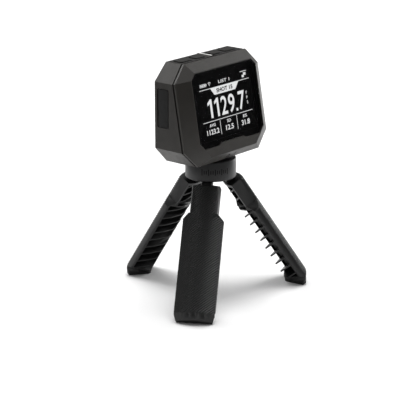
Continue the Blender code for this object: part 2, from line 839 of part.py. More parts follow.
def make_port_cover(hinge):
    """A plate with a round barrel along its rear edge and a plug pad that faces the socket."""
    reach = RECESS_HALF_HEIGHT - MOVING_GAP
    front = RECESS_FRONT + MOVING_GAP - COVER_AXIS_Y
    inner = COVER_THICKNESS - BARREL
    turns = [math.radians(180 - 22.5 * i) for i in range(12)]
    barrel = [(BARREL * math.cos(a), BARREL * math.sin(a)) for a in turns]
    outline = barrel + [(inner, -BARREL * 0.9), (inner, front), (-BARREL + 0.3, front),
                        (-BARREL, front + 0.3)]
    cover = solid("usb_port_cover", prism_z(outline, -reach, reach)[0], black_rubber(), hinge)
    plug_y = PORT_Y - COVER_AXIS_Y
    plug = ((inner - 0.4, plug_y - 1.2, -4.0), (inner + 1.0, plug_y + 1.2, 4.0))
    join(cover, block(*plug))
    bore = prism_z(circle(COVER_PIN + 0.2, 12), -reach - 1, reach + 1)
    cut(cover, bore)


# Mount and tripod


def make_mount(stand):
    """Threaded insert, stud, collar, pads, washer, nut and hub, from the top down."""
    knurl = []
    for i in range(48):
        angle = 2 * math.pi * i / 48
        reach = INSERT_RADIUS - 0.25 * (i % 2)
        knurl.append((reach * math.cos(angle), reach * math.sin(angle)))
    low = HEAD_BOTTOM + 0.2
    insert = tube_z(knurl, circle(THREAD_HOLE, 48), low, low + INSERT_HEIGHT)
    solid("tripod_insert", insert, brass(), stand, closed=True)

    hexagon = polygon(STUD_HEX)
    collar_gap = COLLAR_TOP - 0.1
    sections = (
        (circle(STUD_SHANK - 0.4), STUD_BOTTOM),
        (circle(STUD_SHANK), STUD_BOTTOM + 0.5),
        (circle(STUD_SHANK), COLLAR_ROOF + SEAT_GAP),
        (hexagon, COLLAR_ROOF + SEAT_GAP),
        (hexagon, collar_gap),
        (circle(STUD_THREAD), collar_gap),
        (circle(STUD_THREAD), STUD_TOP - 0.6),
        (circle(STUD_THREAD - 0.6), STUD_TOP),
    )
    solid("mounting_stud", [at_z(ring, z) for ring, z in sections], steel(), stand, smooth=True)

    pad_low = COLLAR_TOP + SEAT_GAP
    pad = tube_z(circle(12.5, 48), circle(STUD_THREAD + 0.5, 48), pad_low, HEAD_BOTTOM - 0.2)
    solid("top_pad", pad, black_rubber(), stand, closed=True)
    make_collar(stand)

    washer = tube_z(circle(8.5, 36), circle(STUD_SHANK + 0.4, 36), HUB_TOP + 0.2, WASHER_TOP)
    solid("friction_washer", washer, material("nylon", (0.6, 0.6, 0.58), 0.5), stand, closed=True)
    nut_top = HUB_BOTTOM - MOVING_GAP
    nut = tube_z(polygon(NUT_HALF), circle(STUD_SHANK + SEAT_GAP), nut_top - NUT_HEIGHT, nut_top)
    solid("retaining_nut", nut, steel(), stand, closed=True)


def make_collar(stand):
    """The pan collar: an upturned cup, open below, with a six-sided hole that turns the stud."""
    count = 72
    key_hole = polygon(STUD_HEX + SEAT_GAP, 6, count)
    bore = circle(COLLAR_BORE, count)
    sections = (
        (key_hole, COLLAR_ROOF),
        (bore, COLLAR_ROOF),
        (bore, COLLAR_BOTTOM),
        (circle(COLLAR_RADIUS - 0.5, count), COLLAR_BOTTOM),
        (circle(COLLAR_RADIUS, count), COLLAR_BOTTOM + 0.5),
        (circle(COLLAR_RADIUS, count), COLLAR_TOP - 1.0),
        (circle(COLLAR_RADIUS - 0.3, count), COLLAR_TOP - 0.35),
        (circle(COLLAR_RADIUS - 1.0, count), COLLAR_TOP),
        (key_hole, COLLAR_TOP),
    )
    rings = [at_z(ring, z) for ring, z in sections]
    solid("pan_collar", rings, collar_plastic(), stand, closed=True, smooth=True)


def make_hub(stand):
    """A drum with a bore, a slot for each leg's arm, and cross holes for the hinge pins."""
    count = 48
    drum = tube_z(circle(HUB_RADIUS, count), circle(STUD_SHANK + 0.4, count), HUB_BOTTOM, HUB_TOP)
    finish = material("hub_nylon", (0.03, 0.03, 0.03), 0.5)
    hub = solid("tripod_hub", drum, finish, stand, closed=True)
    half = ARM_HALF + MOVING_GAP
    for letter, degrees in LEG_DIRECTIONS.items():
        turn = empty(f"leg_{letter}_side", rotation=(0, 0, math.radians(degrees)), parent=stand)
        cut(hub, block((SLOT_END, -half, HUB_BOTTOM - 1), (HUB_RADIUS + 2, half, SLOT_TOP)), parent=turn)
        hole = circle(HINGE_PIN + MOVING_GAP, 16, (HINGE_REACH, HINGE_HEIGHT))
        blind_end = -HINGE_PIN_HALF - MOVING_GAP
        cut(hub, prism_y(hole, blind_end, HUB_RADIUS + 1, 0.0), parent=turn)
        pin = prism_y(circle(HINGE_PIN, 16, (HINGE_REACH, HINGE_HEIGHT)),
                      -HINGE_PIN_HALF, HINGE_PIN_HALF, 0.0)
        solid(f"leg_hinge_pin_{letter}", pin[0], steel(), turn)


# Legs: local x runs out of the skin, y across, z up the leg, with the hinge pin at the origin


def hinge_in_leg():
    """(depth, s) of the hinge, measured from the skin's top corner."""
    inward = SKIN_TOP_REACH - HINGE_REACH
    up = HINGE_HEIGHT - SKIN_TOP_HEIGHT
    c, s = math.cos(LEG_SPREAD), math.sin(LEG_SPREAD)
    return inward * c - up * s, -(inward * s + up * c)


def leg_point(t, depth, s):
    hinge_depth, hinge_s = hinge_in_leg()
    return (hinge_depth - depth, t, hinge_s - s)


def leg_ring(outline, s):
    """An outline of (t, depth) points, square to the leg."""
    return [leg_point(t, depth, s) for t, depth in outline]


def rest_point(reach, t, height):
    """A point given by where it is when the leg stands."""
    turn = Matrix.Rotation(LEG_SPREAD, 3, "Y")
    return tuple(turn @ Vector((reach - HINGE_REACH, t, height - HINGE_HEIGHT)))


def foot_ring(outline, height):
    """The same outline where the leg has turned upright, over the foot."""
    reach, _ = skin_end()
    inward = math.cos(LEG_SPREAD)
    return [rest_point(reach - depth * inward, t, height) for t, depth in outline]


def leg_prism(outline, start, end):
    """An outline of (t, depth) points, extruded along the leg."""
    return [leg_ring(outline, end), leg_ring(outline, start)], False


def side_prism(outline, half):
    """An outline of (depth, s) points, extruded across the leg."""
    return [[leg_point(t, depth, s) for depth, s in outline] for t in (-half, half)], False


def rest_prism(outline, half):
    """An outline of (reach, height) points where the leg stands, extruded across it."""
    return [[rest_point(reach, t, height) for reach, height in outline] for t in (-half, half)], False


def leg_bar_outline(inset=0.0):
    """The round skin over a deep bar, wider and deeper than the finished leg."""
    beyond, deep, steps = 0.8, 17.0, 16
    widest = math.asin((LEG_HALF + beyond) / LEG_ARC)
    radius = LEG_ARC - inset
    points = []
    for i in range(steps + 1):
        angle = -widest + 2 * widest * i / steps
        points.append((radius * math.sin(angle), LEG_ARC - radius * math.cos(angle)))
    side = points[-1][0]
    return points + [(side, deep), (-side, deep)]


def leg_bar():
    """The skin's bar: a rounded top end, a straight run, and an upright stretch through the floor."""
    rings = []
    for i in range(4):
        angle = math.pi / 2 * i / 3
        inset = LEG_END_ROUND * (1 - math.sin(angle))
        rings.append(leg_ring(leg_bar_outline(inset), NECK_START + LEG_END_ROUND * (1 - math.cos(angle))))
    rings.append(leg_ring(leg_bar_outline(), LEG_LENGTH))
    rings.append(foot_ring(leg_bar_outline(), -10.0))
    return list(reversed(rings)), False


def outside(depths):
    """What lies outside a leg with its side wall, bend and tip that deep."""
    side, bend, tip = depths
    wide, deep, above = LEG_HALF + 3.5, 25.0, -3.0
    right = [
        (wide, deep),
        (wide, above),
        (LEG_HALF, above),
        (LEG_HALF, side),
        (LEG_BEND_HALF, bend),
        (LEG_TIP_HALF, tip),
    ]
    return right + [(-t, depth) for t, depth in reversed(right)]


def flank_cut():
    """Takes the bar down to its side walls and the ribs' outline, from the neck's end to below the floor."""
    foot = outside(LEG_DEPTH_FOOT)
    rings = [
        foot_ring(foot, -12.0),
        leg_ring(foot, LEG_LENGTH),
        leg_ring(outside(LEG_DEPTH_LOW), LEG_LENGTH - FOOT_BLEND),
        leg_ring(outside(LEG_DEPTH_TOP), NECK_LENGTH),
    ]
    return rings, False


def neck_cuts():
    """The neck's flat sides, its 45-degree shoulders, its eased edges and its crowned inner face."""
    shoulder, beyond = 5.5, 9.0
    cuts = []
    for sign in (-1, 1):
        side = [
            (NECK_HALF, NECK_START - 4),
            (NECK_HALF, NECK_LENGTH),
            (NECK_HALF + shoulder, NECK_LENGTH + shoulder),
            (NECK_HALF + beyond, NECK_LENGTH + shoulder),
            (NECK_HALF + beyond, NECK_START - 4),
        ]
        cuts.append(([[leg_point(sign * t, depth, s) for t, s in side] for depth in (-3, 25)], False))
        slope = 0.5  # across, for each step down
        ease = [
            (NECK_HALF - slope * (NECK_EASE + 0.2), -0.2),
            (NECK_HALF + slope * 0.4, NECK_EASE + 0.4),
            (NECK_HALF + 3.0, NECK_EASE + 0.4),
            (NECK_HALF + 3.0, -0.2),
        ]
        cuts.append(leg_prism([(sign * t, depth) for t, depth in ease], NECK_START - 3, NECK_LENGTH + 0.5))
    crown = [
        (NECK_HALF + 1, NECK_SIDE_DEPTH - 0.25),
        (ARM_HALF, NECK_DEPTH),
        (-ARM_HALF, NECK_DEPTH),
        (-NECK_HALF - 1, NECK_SIDE_DEPTH - 0.25),
        (-NECK_HALF - 1, 25),
        (NECK_HALF + 1, 25),
    ]
    cuts.append(leg_prism(crown, NECK_START - 3, NECK_LENGTH))
    return cuts


def foot_slopes():
    """The slopes under the foot's front edge and on its lower side corners."""
    reach, _ = skin_end()
    lean = FOOT_CHAMFER_DEPTH / FOOT_CHAMFER_HEIGHT
    up, down = 3.0, 5.0
    front = [
        (reach + lean * up, FOOT_CHAMFER_HEIGHT + up),
        (reach - FOOT_CHAMFER_DEPTH - lean * down, -down),
        (reach + 30, -down),
        (reach + 30, FOOT_CHAMFER_HEIGHT + up),
    ]
    cuts = [rest_prism(front, 25)]
    side_lean = FOOT_SIDE_DEPTH / FOOT_SIDE_HEIGHT
    for sign in (-1, 1):
        side = [
            (LEG_HALF + side_lean * up, FOOT_SIDE_HEIGHT + up),
            (LEG_HALF - FOOT_SIDE_DEPTH - side_lean * down, -down),
            (LEG_HALF + 10, -down),
            (LEG_HALF + 10, FOOT_SIDE_HEIGHT + up),
        ]
        rings = [[rest_point(rho, sign * t, z) for t, z in side] for rho in (reach - 25, reach + 25)]
        cuts.append((rings, False))
    return cuts


def slab(low, high):
    """A level slab, wider than the whole leg where it stands."""
    return rest_prism([(-60, low), (120, low), (120, high), (-60, high)], 30)


def make_leg_data():
    """One leg: a curved skin with cross ribs inside, a narrow neck, a hinge arm and a flat foot."""
    leg = solid("leg", leg_bar()[0], leg_plastic(), None)
    for cutter in (flank_cut(), *neck_cuts(), *foot_slopes(), slab(-30, FOOT_PAD_TOP)):
        cut(leg, cutter)
    cut(leg, channel(NECK_HALF - NECK_WALL, NECK_LENGTH + 0.2, NECK_RIBS * RIB_PITCH - RIB_THICKNESS / 2))
    change_by(leg, "DIFFERENCE", leg_pockets())
    add_arm(leg)
    return evaluated_data(leg)


def channel(half, start, end):
    """A straight channel under the skin, between side walls."""
    radius = LEG_ARC - LEG_SKIN
    angle = math.asin(half / radius)
    turns = [-angle + angle * i / 6 for i in range(13)]
    roof = [(radius * math.sin(a), LEG_ARC - radius * math.cos(a)) for a in turns]
    return leg_prism(roof + [(half, 25.0), (-half, 25.0)], start, end)


def rib_slab(s):
    """A slanting slab across the whole leg, where a rib stays."""
    wide, half = 20.0, RIB_THICKNESS / 2
    corners = [(-wide, -half), (wide, -half), (wide, half), (-wide, half)]
    rings = [
        [leg_point(t, depth, s + RIB_SLANT * t + across) for t, across in corners] for depth in (-5, 32)
    ]
    return rings, False


def leg_pockets():
    """The spaces between the slanting ribs: one run in the neck and one in the wide part."""
    half = RIB_THICKNESS / 2
    shoulder = NECK_RIBS * RIB_PITCH
    narrow = NECK_HALF - NECK_WALL
    runs = [
        channel(narrow, NECK_START + 2.0, NECK_LENGTH - 1.0),
        channel(LEG_HALF - LEG_WALL, shoulder + half, LEG_LENGTH - FOOT_BLEND - 0.2),
    ]
    pockets = put("pockets", data_of("pockets", *runs), leg_plastic())
    cut(pockets, *[rib_slab(i * RIB_PITCH) for i in range(RIB_COUNT + 1)])
    return evaluated_data(pockets)


def add_arm(leg):
    hinge_depth, hinge_s = hinge_in_leg()
    into_leg = NECK_START + 1.2
    turns = [math.pi * i / 10 for i in range(11)]
    outline = [
        (hinge_depth - ARM_RADIUS * math.cos(a), hinge_s - ARM_RADIUS * math.sin(a)) for a in turns
    ]
    outline += [(hinge_depth + ARM_RADIUS, into_leg), (hinge_depth - ARM_RADIUS, into_leg)]
    join(leg, side_prism(outline, ARM_HALF))
    hole = [(hinge_depth + x, hinge_s + y) for x, y in circle(HINGE_PIN + MOVING_GAP, 16)]
    cut(leg, side_prism(hole, ARM_HALF + 1))


def make_foot_data():
    """The rubber sole: the lowest slice of the foot."""
    sole = solid("sole", leg_bar()[0], black_rubber(), None)
    for cutter in (flank_cut(), *foot_slopes(), slab(-30, 0.0), slab(FOOT_PAD_TOP - SEAT_GAP, 200)):
        cut(sole, cutter)
    return evaluated_data(sole)


def make_legs(stand):
    leg_data = make_leg_data()
    foot_data = make_foot_data()
    for letter, degrees in LEG_DIRECTIONS.items():
        direction = math.radians(degrees)
        place = (
            HINGE_REACH * math.cos(direction),
            HINGE_REACH * math.sin(direction),
            HINGE_HEIGHT,
        )
        hinge = empty(f"leg_{letter}_hinge", place, (0, -LEG_SPREAD, direction), stand)
        put(f"leg_{letter}", leg_data, leg_plastic(), hinge)
        put(f"foot_pad_{letter}", foot_data, black_rubber(), hinge)


def main():
    global CUTTERS
    clear_scene()
    CUTTERS = bpy.data.collections.new("cutters")
    bpy.context.scene.collection.children.link(CUTTERS)
    stand = empty("tripod_axis", (0, -base_middle(), 0))
    tilt = (math.pi / 2 - DISPLAY_TILT, 0, 0)
    display = empty("display_frame", (0, SEAM_Y, HEAD_MIDDLE), tilt, stand)
    make_housing(stand)
    make_radome(stand)
    make_bezel(display)
    make_gasket(display)
    make_screen(display)
    make_boards(stand, display)
    make_housing_screws(stand)
    make_keypad(stand)
    make_port(stand)
    make_mount(stand)
    make_hub(stand)
    make_legs(stand)


main()
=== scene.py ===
"""Looks for a handheld radar chronograph on a folding mini tripod.

Lengths in the named values are millimetres, and MM turns them into metres. Display artwork is drawn in the
display's own frame: u to the right, v up the tilted face, w out of it. Leg detail is drawn in the leg's own
frame: t across, depth in from the skin, s down the leg.
"""

import json
import math

import bmesh
import bpy
from mathutils import Matrix, Vector


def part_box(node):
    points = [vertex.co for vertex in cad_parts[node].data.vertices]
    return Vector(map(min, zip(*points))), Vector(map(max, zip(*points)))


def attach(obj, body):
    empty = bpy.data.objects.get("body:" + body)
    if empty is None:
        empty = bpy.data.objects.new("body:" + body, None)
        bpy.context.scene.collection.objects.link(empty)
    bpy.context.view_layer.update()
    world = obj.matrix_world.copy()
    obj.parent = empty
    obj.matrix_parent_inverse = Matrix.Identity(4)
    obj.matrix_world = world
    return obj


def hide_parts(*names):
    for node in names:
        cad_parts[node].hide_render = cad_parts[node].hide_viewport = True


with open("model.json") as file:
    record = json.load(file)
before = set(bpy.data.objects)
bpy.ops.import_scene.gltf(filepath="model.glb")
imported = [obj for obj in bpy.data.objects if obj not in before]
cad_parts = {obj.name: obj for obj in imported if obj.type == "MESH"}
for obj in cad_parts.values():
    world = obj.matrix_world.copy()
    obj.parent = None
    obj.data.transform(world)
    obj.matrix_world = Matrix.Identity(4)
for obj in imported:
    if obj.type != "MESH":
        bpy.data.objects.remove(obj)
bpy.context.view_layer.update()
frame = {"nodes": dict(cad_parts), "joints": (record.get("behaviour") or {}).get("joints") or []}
NODES = frame["nodes"]
JOINTS = {joint["name"]: joint for joint in frame["joints"]}
MM = 0.001

# Camera, aimed near the middle of the stand
AZIMUTH = math.radians(-50.4)
ELEVATION = math.radians(17.2)
DISTANCE = 1.1
FOCAL_LENGTH = 156.9
AIM_HEIGHT = 53.1
AIM_SHIFT = -1.59  # along the camera's right
FLOOR_RADIUS = 0.8  # metres
FLOOR_SHIFT = 0.42  # metres, away from the camera

# The display's frame, as the CAD has it
DISPLAY_TILT = math.radians(10.1)
HEAD_BOTTOM = 87.2
HEAD_MIDDLE = HEAD_BOTTOM + 30.0
SEAM_Y = -7.07
LENS_BACK = 5.9
ART_W = 5.64  # just over the panel's front, at 5.6
ART_THICKNESS = 0.03
LENS_ALPHA = 0.22
MARK_SINK = 0.2  # how deep a mark sits in the surface
ART_SHIFT = Vector((1.1, -0.2))  # from a spot on the glass to the artwork seen through it from the camera
LENS_NOTCH_TOP = 10.7  # half widths of the raised stretch in the lens's bottom edge
LENS_NOTCH_FOOT = 12.9

# The legs, as the CAD has them
SKIN_TOP_REACH = 19.0
SKIN_TOP_HEIGHT = 73.5
LEG_LENGTH = 77.7
LEG_ARC = 19.11
LEG_NAMES = "abc"
GROOVE_ANGLE = math.radians(40.0)  # from straight across the leg
GROOVE_PITCH = 1.2
GROOVE_WIDTH = 0.86
GROOVE_DEPTH = 0.42
GROOVE_HALF_SPAN = 13.2  # how far the grooves run to each side of the leg's middle
GROOVE_OVERRUN_TOP = 2.5  # how far they start above the skin and end below it
GROOVE_OVERRUN_FOOT = 1.5
CUTTER_RISE = 0.35  # how far a cutter stands out of the skin
CUTTER_STEPS = 10

# Marks on the collar and the bezel
TICKS_FACING = math.radians(-130.0)  # about Z, a little to the camera's right
TICK_SPACING = math.radians(5.0)
TICKS_EACH_WAY = 6
TICK_HALF_WIDTH = 0.26
TICK_HALF_HEIGHT = 1.1
LONG_TICK_HALF_HEIGHT = 1.9
TICK_RISE = 0.02
EMBLEM_DOT = 0.55
EMBLEM_WAVES = (1.6, 2.7, 3.8)
EMBLEM_LINE = 0.5
EMBLEM_SPREAD = 38.0  # degrees, to each side of a wave's middle

TRIPOD_AXIS = Vector(JOINTS["pan_turn"]["pos_m"]) / MM
TRIPOD_AXIS.z = 0.0
UP = Vector((0.0, 0.0, 1.0))


# Materials


def new_material(name, color, roughness, metallic=0.0):
    """A Principled material, with its node tree and its shader."""
    made = bpy.data.materials.new(name)
    made.use_nodes = True
    tree = made.node_tree
    shader = tree.nodes["Principled BSDF"]
    shader.inputs["Base Color"].default_value = (*color, 1.0)
    shader.inputs["Roughness"].default_value = roughness
    shader.inputs["Metallic"].default_value = metallic
    made.diffuse_color = (*color, 1.0)
    return made, tree, shader


def noise(tree, scale, detail=3.0, roughness=0.55, stretch=(1.0, 1.0, 1.0)):
    """Noise in the object's own space, scale in features for each millimetre."""
    place = tree.nodes.new("ShaderNodeTexCoord")
    mapping = tree.nodes.new("ShaderNodeMapping")
    mapping.inputs["Scale"].default_value = stretch
    tree.links.new(place.outputs["Object"], mapping.inputs["Vector"])
    made = tree.nodes.new("ShaderNodeTexNoise")
    made.inputs["Scale"].default_value = scale / MM
    made.inputs["Detail"].default_value = detail
    made.inputs["Roughness"].default_value = roughness
    tree.links.new(mapping.outputs["Vector"], made.inputs["Vector"])
    return made.outputs["Fac"]


def spread(tree, value, low, high):
    """Maps the middle of a noise to a range."""
    made = tree.nodes.new("ShaderNodeMapRange")
    made.inputs["From Min"].default_value = 0.3
    made.inputs["From Max"].default_value = 0.7
    made.inputs["To Min"].default_value = low
    made.inputs["To Max"].default_value = high
    tree.links.new(value, made.inputs["Value"])
    return made.outputs["Result"]


def vary_color(tree, shader, value, low, high):
    """Blends two colours by a noise."""
    ramp = tree.nodes.new("ShaderNodeValToRGB")
    ramp.color_ramp.elements[0].position = 0.3
    ramp.color_ramp.elements[0].color = (*low, 1.0)
    ramp.color_ramp.elements[1].position = 0.7
    ramp.color_ramp.elements[1].color = (*high, 1.0)
    tree.links.new(value, ramp.inputs["Fac"])
    tree.links.new(ramp.outputs["Color"], shader.inputs["Base Color"])


def add_bump(tree, shader, *heights):
    """Stacks bumps given as (height socket, distance in millimetres, strength)."""
    normal = None
    for height, distance, strength in heights:
        bump = tree.nodes.new("ShaderNodeBump")
        bump.inputs["Distance"].default_value = distance * MM
        bump.inputs["Strength"].default_value = strength
        tree.links.new(height, bump.inputs["Height"])
        if normal is not None:
            tree.links.new(normal, bump.inputs["Normal"])
        normal = bump.outputs["Normal"]
    tree.links.new(normal, shader.inputs["Normal"])


def scaled(color, factor):
    return tuple(channel * factor for channel in color)


def moulded(name, color, roughness, grain, depth, contrast=0.12, specular=0.5, wave=0.02, bite=0.5):
    """Moulded plastic or rubber: uneven colour and gloss, and a fine texture with soft waves under it."""
    made, tree, shader = new_material(name, color, roughness)
    shader.inputs["Specular IOR Level"].default_value = specular
    cloud = noise(tree, 0.09, 4.0)
    vary_color(tree, shader, cloud, scaled(color, 1 - contrast), scaled(color, 1 + contrast))
    fine = noise(tree, grain, 2.0)
    gloss = spread(tree, noise(tree, 0.35, 3.0), roughness - 0.05, roughness + 0.06)
    tree.links.new(gloss, shader.inputs["Roughness"])
    waves = noise(tree, 0.25, 2.0)
    add_bump(tree, shader, (waves, wave, 0.15), (fine, depth, bite))
    return made


def brushed(name, color, roughness, stretch):
    """Metal with a fine one-way grain."""
    made, tree, shader = new_material(name, color, roughness, 1.0)
    streaks = noise(tree, 0.5, 4.0, 0.6, stretch)
    vary_color(tree, shader, streaks, scaled(color, 0.85), scaled(color, 1.08))
    gloss = spread(tree, streaks, roughness - 0.08, roughness + 0.1)
    tree.links.new(gloss, shader.inputs["Roughness"])
    add_bump(tree, shader, (streaks, 0.01, 0.4))
    return made


def clear_glass():
    """The lens: a dark, thin pane that the display shows through, with a faint unevenness in its gloss."""
    made, tree, shader = new_material("lens_glass", (0.002, 0.002, 0.0025), 0.06)
    shader.inputs["Alpha"].default_value = LENS_ALPHA
    smudge = spread(tree, noise(tree, 0.06, 3.0), 0.05, 0.09)
    tree.links.new(smudge, shader.inputs["Roughness"])
    return made


def glowing(name, color, strength):
    """Display artwork: mostly lit from behind."""
    made, tree, shader = new_material(name, scaled(color, 0.2), 0.6)
    shader.inputs["Emission Color"].default_value = (*color, 1.0)
    shader.inputs["Emission Strength"].default_value = strength
    shader.inputs["Specular IOR Level"].default_value = 0.1
    ripple = noise(tree, 1.2, 1.0)
    vary_color(tree, shader, ripple, scaled(color, 0.18), scaled(color, 0.22))
    return made


def board_material():
    """Green solder mask over a faint pattern of tracks."""
    made, tree, shader = new_material("solder_mask", (0.015, 0.085, 0.04), 0.35)
    place = tree.nodes.new("ShaderNodeTexCoord")
    tracks = tree.nodes.new("ShaderNodeTexBrick")
    tracks.inputs["Scale"].default_value = 0.35 / MM
    tracks.inputs["Mortar Size"].default_value = 0.06
    tracks.inputs["Color1"].default_value = (0.015, 0.085, 0.04, 1)
    tracks.inputs["Color2"].default_value = (0.012, 0.07, 0.034, 1)
    tracks.inputs["Mortar"].default_value = (0.03, 0.16, 0.07, 1)
    tree.links.new(place.outputs["Object"], tracks.inputs["Vector"])
    tree.links.new(tracks.outputs["Color"], shader.inputs["Base Color"])
    add_bump(tree, shader, (tracks.outputs["Fac"], 0.03, 0.4))
    return made


def make_materials():
    return {
        "head": moulded(
            "head_plastic", (0.025, 0.0225, 0.0196), 0.40,
            grain=3.2, depth=0.04, contrast=0.10, specular=0.38,
        ),
        "keypad": moulded(
            "keypad_rubber", (0.014, 0.013, 0.012), 0.60,
            grain=2.6, depth=0.04, specular=0.3,
        ),
        "door": moulded("door_rubber", (0.005, 0.005, 0.005), 0.50, grain=2.6, depth=0.03, specular=0.25),
        "rubber": moulded(
            "black_rubber", (0.005, 0.005, 0.005), 0.70,
            grain=2.2, depth=0.04, specular=0.25,
        ),
        "leg": moulded(
            "leg_plastic", (0.0075, 0.0075, 0.0075), 0.40,
            grain=1.5, depth=0.004, contrast=0.06, specular=0.38, wave=0.002, bite=0.1,
        ),
        "collar": moulded(
            "collar_plastic", (0.020, 0.020, 0.021), 0.38,
            grain=1.8, depth=0.005, contrast=0.06, specular=0.45, wave=0.003, bite=0.15,
        ),
        "hub": moulded("hub_plastic", (0.010, 0.010, 0.010), 0.50, grain=2.5, depth=0.03, specular=0.3),
        "inner": moulded("inner_plastic", (0.012, 0.012, 0.012), 0.55, grain=2.0, depth=0.02, specular=0.3),
        "nylon": moulded("washer_nylon", (0.62, 0.61, 0.58), 0.45, grain=1.5, depth=0.02, contrast=0.05),
        "white": moulded("sight_white", (0.80, 0.80, 0.78), 0.45, grain=2.0, depth=0.01, contrast=0.03),
        "mark": moulded(
            "dark_mark", (0.004, 0.004, 0.004), 0.60,
            grain=2.0, depth=0.01, contrast=0.1, specular=0.1,
        ),
        "border": moulded(
            "lens_print", (0.0012, 0.0012, 0.0014), 0.55,
            grain=1.0, depth=0.003, contrast=0.05, specular=0.06,
        ),
        "lcd": moulded(
            "lcd_face", (0.0008, 0.0008, 0.0010), 0.50,
            grain=0.8, depth=0.003, contrast=0.05, specular=0.06,
        ),
        "steel": brushed("machined_steel", (0.56, 0.56, 0.57), 0.30, (1.0, 1.0, 0.06)),
        "brass": brushed("knurled_brass", (0.71, 0.50, 0.22), 0.32, (1.0, 1.0, 0.1)),
        "foil": brushed("battery_foil", (0.42, 0.43, 0.45), 0.36, (1.0, 0.2, 1.0)),
        "glass": clear_glass(),
        "board": board_material(),
        "art": glowing("display_white", (0.95, 0.96, 0.97), 1.25),
    }


# Pieces


def soften(item, width, segments=2, angle=28.0):
    """Rounds a CAD piece's edges, after joining its coincident points and flat triangles."""
    weld = item.modifiers.new("weld", "WELD")
    weld.merge_threshold = 1e-6
    flat = item.modifiers.new("flat", "DECIMATE")
    flat.decimate_type = "DISSOLVE"
    flat.angle_limit = math.radians(0.3)
    bevel = item.modifiers.new("bevel", "BEVEL")
    bevel.width = width * MM
    bevel.segments = segments
    bevel.limit_method = "ANGLE"
    bevel.angle_limit = math.radians(angle)
    bevel.harden_normals = True


def smooth(item):
    """Smooth shading without the imported normals, so that new edges shade as they are."""
    data = item.data
    normals = data.attributes.get("custom_normal")
    if normals is not None:
        data.attributes.remove(normals)
    data.shade_smooth()


def finish(item, material):
    item.data.materials.clear()
    item.data.materials.append(material)


def add_object(name, data):
    item = bpy.data.objects.new(name, data)
    bpy.context.scene.collection.objects.link(item)
    return item


def mesh_data(name, mesh):
    """Turns a bmesh into mesh data and frees it."""
    data = bpy.data.meshes.new(name)
    mesh.to_mesh(data)
    mesh.free()
    return data


def new_piece(name, data, material, body):
    item = add_object(name, data)
    finish(item, material)
    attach(item, body)
    return item


def applied(item):
    """The mesh that the item's modifiers make."""
    bpy.context.view_layer.update()
    return bpy.data.meshes.new_from_object(item.evaluated_get(bpy.context.evaluated_depsgraph_get()))


def display_matrix():
    """From the display's frame in millimetres to the row's frame in metres."""
    place = Matrix.Translation(Vector((TRIPOD_AXIS.x, TRIPOD_AXIS.y + SEAM_Y, HEAD_MIDDLE)))
    turn = Matrix.Rotation(math.pi / 2 - DISPLAY_TILT, 4, "X")
    return Matrix.Scale(MM, 4) @ place @ turn


def plate(mesh, outline, w, thickness):
    """Adds a closed plate with the given (u, v) outline."""
    low = [mesh.verts.new((u, v, w)) for u, v in outline]
    high = [mesh.verts.new((u, v, w + thickness)) for u, v in outline]
    mesh.faces.new(list(reversed(low)))
    mesh.faces.new(high)
    count = len(outline)
    for i in range(count):
        j = (i + 1) % count
        mesh.faces.new((low[i], low[j], high[j], high[i]))


def ring_plate(mesh, outer, inner, w, thickness):
    """Adds a closed ring between two outlines of as many points."""
    rows = []
    for outline, height in ((outer, w), (outer, w + thickness), (inner, w + thickness), (inner, w)):
        rows.append([mesh.verts.new((u, v, height)) for u, v in outline])
    count = len(outer)
    for k in range(4):
        low, high = rows[k], rows[(k + 1) % 4]
        for i in range(count):
            j = (i + 1) % count
            mesh.faces.new((low[i], low[j], high[j], high[i]))


def bar(u0, v0, u1, v1, width):
    """The outline of a straight bar between two points."""
    along = (Vector((u1, v1)) - Vector((u0, v0))).normalized() * width / 2
    side = Vector((-along.y, along.x))
    ends = ((u0, v0, -1), (u1, v1, 1))
    points = []
    for u, v, sign in ends:
        points.append(Vector((u, v)) + side * sign)
        points.append(Vector((u, v)) - side * sign)
    return [tuple(p) for p in points]


def box_outline(u0, v0, u1, v1):
    return [(u0, v0), (u1, v0), (u1, v1), (u0, v1)]


def arc_band(mesh, middle, radius, width, start, end, w, thickness, steps=10):
    """Adds a closed curved band, angles in degrees."""
    outer, inner = [], []
    for i in range(steps + 1):
        angle = math.radians(start + (end - start) * i / steps)
        direction = Vector((math.cos(angle), math.sin(angle)))
        outer.append(tuple(Vector(middle) + direction * (radius + width / 2)))
        inner.append(tuple(Vector(middle) + direction * (radius - width / 2)))
    plate(mesh, outer + list(reversed(inner)), w, thickness)


def glyphs(text, weight):
    """Flat text as mesh data, thickened by weight in text units."""
    curve = bpy.data.curves.new("glyphs", "FONT")
    curve.body = text
    curve.size = 1.0
    curve.offset = weight
    curve.extrude = 0.5
    curve.resolution_u = 4
    holder = add_object("glyphs", curve)
    data = applied(holder)
    bpy.data.objects.remove(holder)
    bpy.data.curves.remove(curve)
    return data


def label(mesh, text, u0, v0, u1, v1, weight=0.02, w=ART_W, thickness=ART_THICKNESS):
    """Adds text that fills the given box."""
    data = glyphs(text, weight)
    points = [vertex.co for vertex in data.vertices]
    low = Vector((min(p.x for p in points), min(p.y for p in points), min(p.z for p in points)))
    high = Vector((max(p.x for p in points), max(p.y for p in points), max(p.z for p in points)))
    size = high - low
    target = Vector((u1 - u0, v1 - v0, thickness))
    for vertex in data.vertices:
        part = vertex.co - low
        vertex.co = (
            u0 + part.x * target.x / size.x,
            v0 + part.y * target.y / size.y,
            w + part.z * target.z / size.z,
        )
    mesh.from_mesh(data)
    bpy.data.meshes.remove(data)


